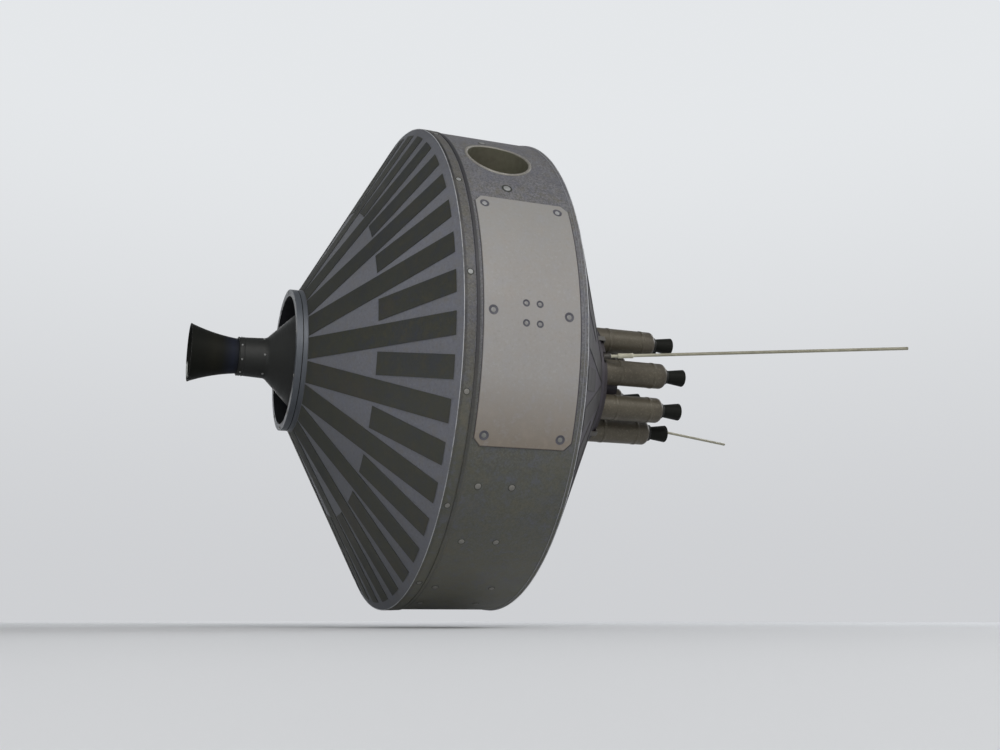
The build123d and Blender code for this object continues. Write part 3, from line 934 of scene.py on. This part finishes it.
def add_vernier_details():
    """Straps, throat nuts and plate bolts of the small motors."""
    straps = bmesh.new()
    bolts = bmesh.new()
    throats = bmesh.new()
    next_angles = MOTOR_ANGLES[1:] + [MOTOR_ANGLES[0] + 360.0]
    for angle, following in zip(MOTOR_ANGLES, next_angles):
        out = out_at(angle)
        for x in STRAP_PLACES:
            lathe_mm(straps, STRAP, frame_at(out * PITCH_R + Vector((x, 0, 0)), (1, 0, 0), out), 40)
        foot = out * PITCH_R + Vector((CASE_END_X - NUT_SINK, 0, 0))
        lathe_mm(throats, THROAT_NUT, frame_at(foot, (1, 0, 0), out), 32)
        # a plate bolt between this motor and the next, on the inner side
        out = out_at((angle + following) / 2)
        foot = out * PLATE_BOLT_R + Vector((PLATE_AFT_X, 0, 0))
        lathe_mm(bolts, PLATE_BOLT, frame_at(foot, (1, 0, 0), out), 6)
    piece("vernier_straps", straps, "vernier_case", "vernier_ring", sharp=40.0)
    piece("vernier_throat_nuts", throats, "motor_black", "vernier_ring", sharp=40.0)
    piece("vernier_plate_bolts", bolts, "ring_metal", "vernier_ring", sharp=25.0)


# Antenna sleeves, profile in millimetres: radius, place along the rod
SLEEVE = [
    (2.4, 23.6), (3.6, 23.6), (4.15, 24.2), (4.15, 29.0), (3.95, 29.4), (3.95, 42.6),
    (4.15, 43.0), (4.15, 47.8), (3.6, 48.4), (2.4, 48.4),
]


def add_antenna_sleeves():
    """A sleeve with two collars at the foot of each rod."""
    bm = bmesh.new()
    for turn in (0.0, 180.0):
        foot = out_at(ROD_FOOT_ANGLE + turn) * ROD_FOOT_R + Vector((ROD_FOOT_X, 0, 0))
        splay = radians(ROD_SPLAY)
        along = out_at(ROD_LEAN + turn) * sin(splay) + Vector((cos(splay), 0, 0))
        lathe_mm(bm, SLEEVE, frame_at(foot, along, (0, 0, 1)), 20)
    piece("antenna_sleeves", bm, "antenna_rod", sharp=40.0)


add_rivets()
add_panel_screws()
add_drum_edges()
add_panel_shadow_line()
add_port_bezel()
add_ring_details()
add_motor_details()
add_vernier_details()
add_antenna_sleeves()


# Floor, backdrop, lights and camera, with linear colours
FLOOR_Z = -0.395
FLOOR_COLOR = (0.71, 0.72, 0.735, 1.0)
BACKDROP_LOW = (0.62, 0.63, 0.65, 1.0)
BACKDROP_HIGH = (0.78, 0.80, 0.82, 1.0)
BACKDROP_TOP = 4.5                 # height at which the backdrop is palest
SHADOWS_TO = (1.2, 3.6)            # the floor fades into the backdrop between these distances


def make_studio():
    """A matt floor that keeps its shadows near the probe and fades into a plain backdrop."""
    f = Finish("studio", (0, 0, 0), 0.9)
    f.bsdf.inputs["Base Color"].default_value = FLOOR_COLOR
    path = f.nodes.new("ShaderNodeLightPath")
    seen = f.math("MAXIMUM", path.outputs["Is Camera Ray"], path.outputs["Is Glossy Ray"])
    seen = f.math("MAXIMUM", seen, path.outputs["Is Transmission Ray"])
    rise = f.ramp(f.xyz("Z"), FLOOR_Z, BACKDROP_TOP)
    rise.node.interpolation_type = "SMOOTHSTEP"
    glow = f.nodes.new("ShaderNodeEmission")
    glow.inputs["Strength"].default_value = 1.0
    f.put(glow.inputs["Color"], f.blend(rise, BACKDROP_LOW, BACKDROP_HIGH))
    length = f.nodes.new("ShaderNodeVectorMath")
    length.operation = "LENGTH"
    f.put(length.inputs[0], f.place)
    fade = f.ramp(length.outputs["Value"], *SHADOWS_TO)
    mix = f.nodes.new("ShaderNodeMixShader")
    f.put(mix.inputs["Fac"], f.times(seen, fade))
    f.put(mix.inputs[1], f.bsdf.outputs[0])
    f.put(mix.inputs[2], glow.outputs[0])
    f.put(f.nodes["Material Output"].inputs["Surface"], mix.outputs[0])
    return f.mat


def add_stage():
    """A round floor that curves up into the backdrop."""
    bm = bmesh.new()
    profile = [
        (0.0, 0.0), (1.0, 0.0), (4.0, 0.0), (6.0, 0.0),
        (7.2, 0.35), (8.0, 1.2), (8.3, 2.5), (8.3, 7.0),
    ]
    lathe(bm, [(radius, FLOOR_Z + rise) for radius, rise in profile], Matrix(), 96)
    mesh = bpy.data.meshes.new("studio_floor")
    bm.to_mesh(mesh)
    bm.free()
    floor = link("studio_floor", mesh, make_studio())


def add_lamp(name, place, size, watts, color=(1.0, 1.0, 1.0)):
    """A square soft lamp that points at the probe."""
    data = bpy.data.lights.new(name, "AREA")
    data.shape = "SQUARE"
    data.size = size
    data.energy = watts
    data.color = color
    lamp = bpy.data.objects.new(name, data)
    lamp.location = place
    lamp.rotation_euler = (Vector((0.05, 0, 0)) - Vector(place)).to_track_quat("-Z", "Y").to_euler()
    bpy.context.scene.collection.objects.link(lamp)


def add_world():
    """A faint even light from all round."""
    world = bpy.data.worlds.new("studio_world")
    world.use_nodes = True
    background = world.node_tree.nodes["Background"]
    background.inputs["Color"].default_value = (0.93, 0.96, 1.0, 1.0)
    background.inputs["Strength"].default_value = 0.24
    bpy.context.scene.world = world


def add_camera():
    """The camera that was fitted to the drum, the cone and the small ring."""
    data = bpy.data.cameras.new("camera")
    data.sensor_width = 36.0
    data.lens = 39.21
    camera = bpy.data.objects.new("camera", data)
    camera.location = (-0.5084, -1.6157, -0.3819)
    camera.rotation_euler = Vector((0.3444, 0.9131, 0.2182)).to_track_quat("-Z", "Y").to_euler()
    bpy.context.scene.collection.objects.link(camera)
    bpy.context.scene.camera = camera


add_stage()
add_lamp("key", (0.4, -3.0, 2.2), 2.2, 61.5, (1.0, 0.985, 0.96))
add_lamp("front_fill", (-1.5, -3.4, 0.0), 2.4, 47.8)
add_lamp("aft_fill", (3.1, 1.0, 1.5), 2.2, 50.0, (0.95, 0.97, 1.0))
add_lamp("far_fill", (0.2, 3.6, 0.9), 2.4, 32.0)
add_world()
add_camera()
bpy.context.scene.view_settings.view_transform = "Standard"
